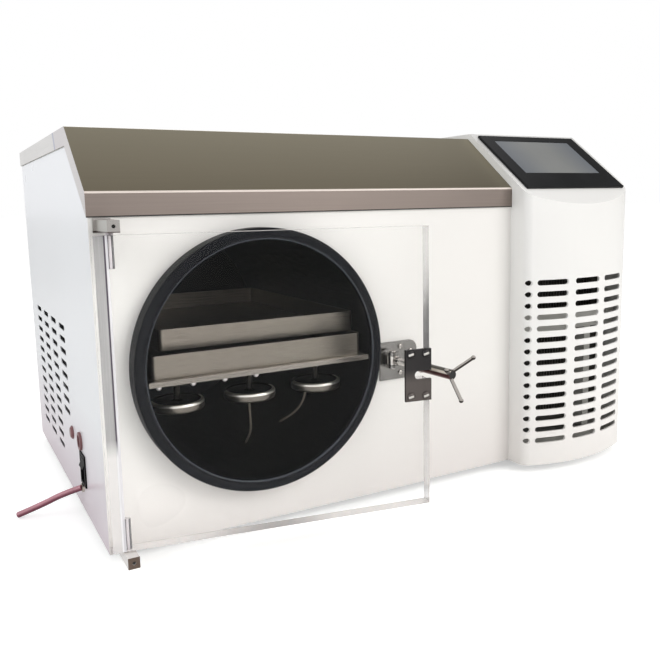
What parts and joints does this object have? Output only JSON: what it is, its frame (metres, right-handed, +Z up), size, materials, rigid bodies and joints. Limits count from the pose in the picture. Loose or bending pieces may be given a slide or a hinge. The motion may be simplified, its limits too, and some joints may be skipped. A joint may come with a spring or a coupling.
{
  "type": "freeze dryer",
  "caption": "Bench-top freeze dryer: round vacuum chamber with a clear swing door and screw latch, trays on a shelf, and a side tower with a tilted touch panel.",
  "frame": {"origin": "under the middle of the whole machine's box, at the bottom of its feet, without the drain hose", "axes": "+X right along the front panel, +Y from the front panel to the rear, +Z up"},
  "size_m": [0.8966, 0.7416, 0.509],
  "materials": {
    "white_panel": "satin powder coat",
    "white_shell": "glossy",
    "stainless": "brushed",
    "black_plastic": "matt",
    "screen_glass": "glossy",
    "black_rubber": "matt",
    "foam": "matt foam",
    "copper": "bare copper",
    "cable": "matt",
    "clear_acrylic": "clear, polished edges",
    "white_nylon": "matt",
    "dark_steel": "satin",
    "chrome": "polished",
    "red_plastic": "satin",
    "brass": "nickel-plated brass",
    "hose": "clear, rose tint",
    "aluminium": "bare",
    "board": "matt"
  },
  "bodies": {
    "machine": {"base_pan": "white_panel", "front_panel": "white_panel", "left_side_panel": "white_panel", "right_side_panel": "white_panel", "rear_panel": "white_panel", "top_lid": "stainless", "tower_shell": "white_shell", "tower_floor": "white_panel", "touch_panel_bezel": "black_plastic", "touch_panel_screen": "screen_glass", "touch_panel_housing": "black_plastic", "chamber_shell": "stainless", "chamber_flange": "stainless", "door_gasket": "black_rubber", "chamber_insulation": "foam", "evaporator_coil": "copper", "shelf_plate": "stainless", "shelf_rail_left": "stainless", "shelf_rail_right": "stainless", "tray_lower": "stainless", "tray_upper": "stainless", "disc_heater_left": "stainless", "disc_heater_middle": "stainless", "disc_heater_right": "stainless", "heater_leads": "cable", "hinge_block_top": "stainless", "hinge_block_bottom": "stainless", "hinge_pin_top": "stainless", "hinge_pin_bottom": "stainless", "hinge_washer": "white_nylon", "hinge_set_screws": "dark_steel", "latch_bracket": "chrome", "latch_pivot_pin": "chrome", "latch_bracket_screws": "chrome", "power_inlet": "black_plastic", "pump_socket": "black_plastic", "fuse_holder": "red_plastic", "drain_nipple": "brass", "drain_hose": "hose", "foot_front_left": "black_rubber", "foot_rear_left": "black_rubber", "foot_front_right": "black_rubber", "foot_rear_right": "black_rubber", "compressor": "dark_steel", "condenser_radiator": "aluminium", "fan_frame": "black_plastic", "fan_motor": "dark_steel", "vacuum_port": "stainless", "control_board": "board", "lid_screws": "chrome"},
    "door": {"door_panel": "clear_acrylic", "latch_plate": "dark_steel", "latch_plate_screws": "chrome"},
    "latch_bolt": {"swing_bolt": "chrome"},
    "washer": {"thrust_washer": "chrome"},
    "knob": {"knob_hub": "chrome", "knob_arms": "chrome"},
    "switch_rocker": {"power_switch_rocker": "black_plastic"},
    "fan": {"fan_rotor": "black_plastic"}
  },
  "joints": [
    {"name": "door_hinge", "type": "hinge", "parent": "machine", "child": "door", "pos_m": [-0.39136, -0.25151, 0.22], "axis": [0, 0, -1], "range_deg": [-10.25, 169.75]},
    {"name": "bolt_swing", "type": "hinge", "parent": "machine", "child": "latch_bolt", "pos_m": [-0.02816, -0.23071, 0.1985], "axis": [0, 0, 1], "range_deg": [-5, 70]},
    {"name": "knob_travel", "type": "slide", "parent": "latch_bolt", "child": "washer", "axis": [-0.0872, 0.9962, 0], "range_m": [0, 0.025]},
    {"name": "knob_spin", "type": "hinge", "parent": "washer", "child": "knob", "pos_m": [-0.01945, -0.33033, 0.1985], "axis": [-0.0872, 0.9962, 0], "range_deg": [0, 6000]},
    {"name": "power_switch", "type": "hinge", "parent": "machine", "child": "switch_rocker", "pos_m": [-0.40216, -0.07821, 0.081], "axis": [0, -1, 0], "range_deg": [0, 16]},
    {"name": "fan_spin", "type": "hinge", "parent": "machine", "child": "fan", "pos_m": [0.30184, -0.14521, 0.172], "axis": [0, 1, 0], "continuous": true}
  ],
  "couplings": [
    {"joint": "knob_spin", "follows": "knob_travel", "rad_per_m": 4188.8}
  ]
}
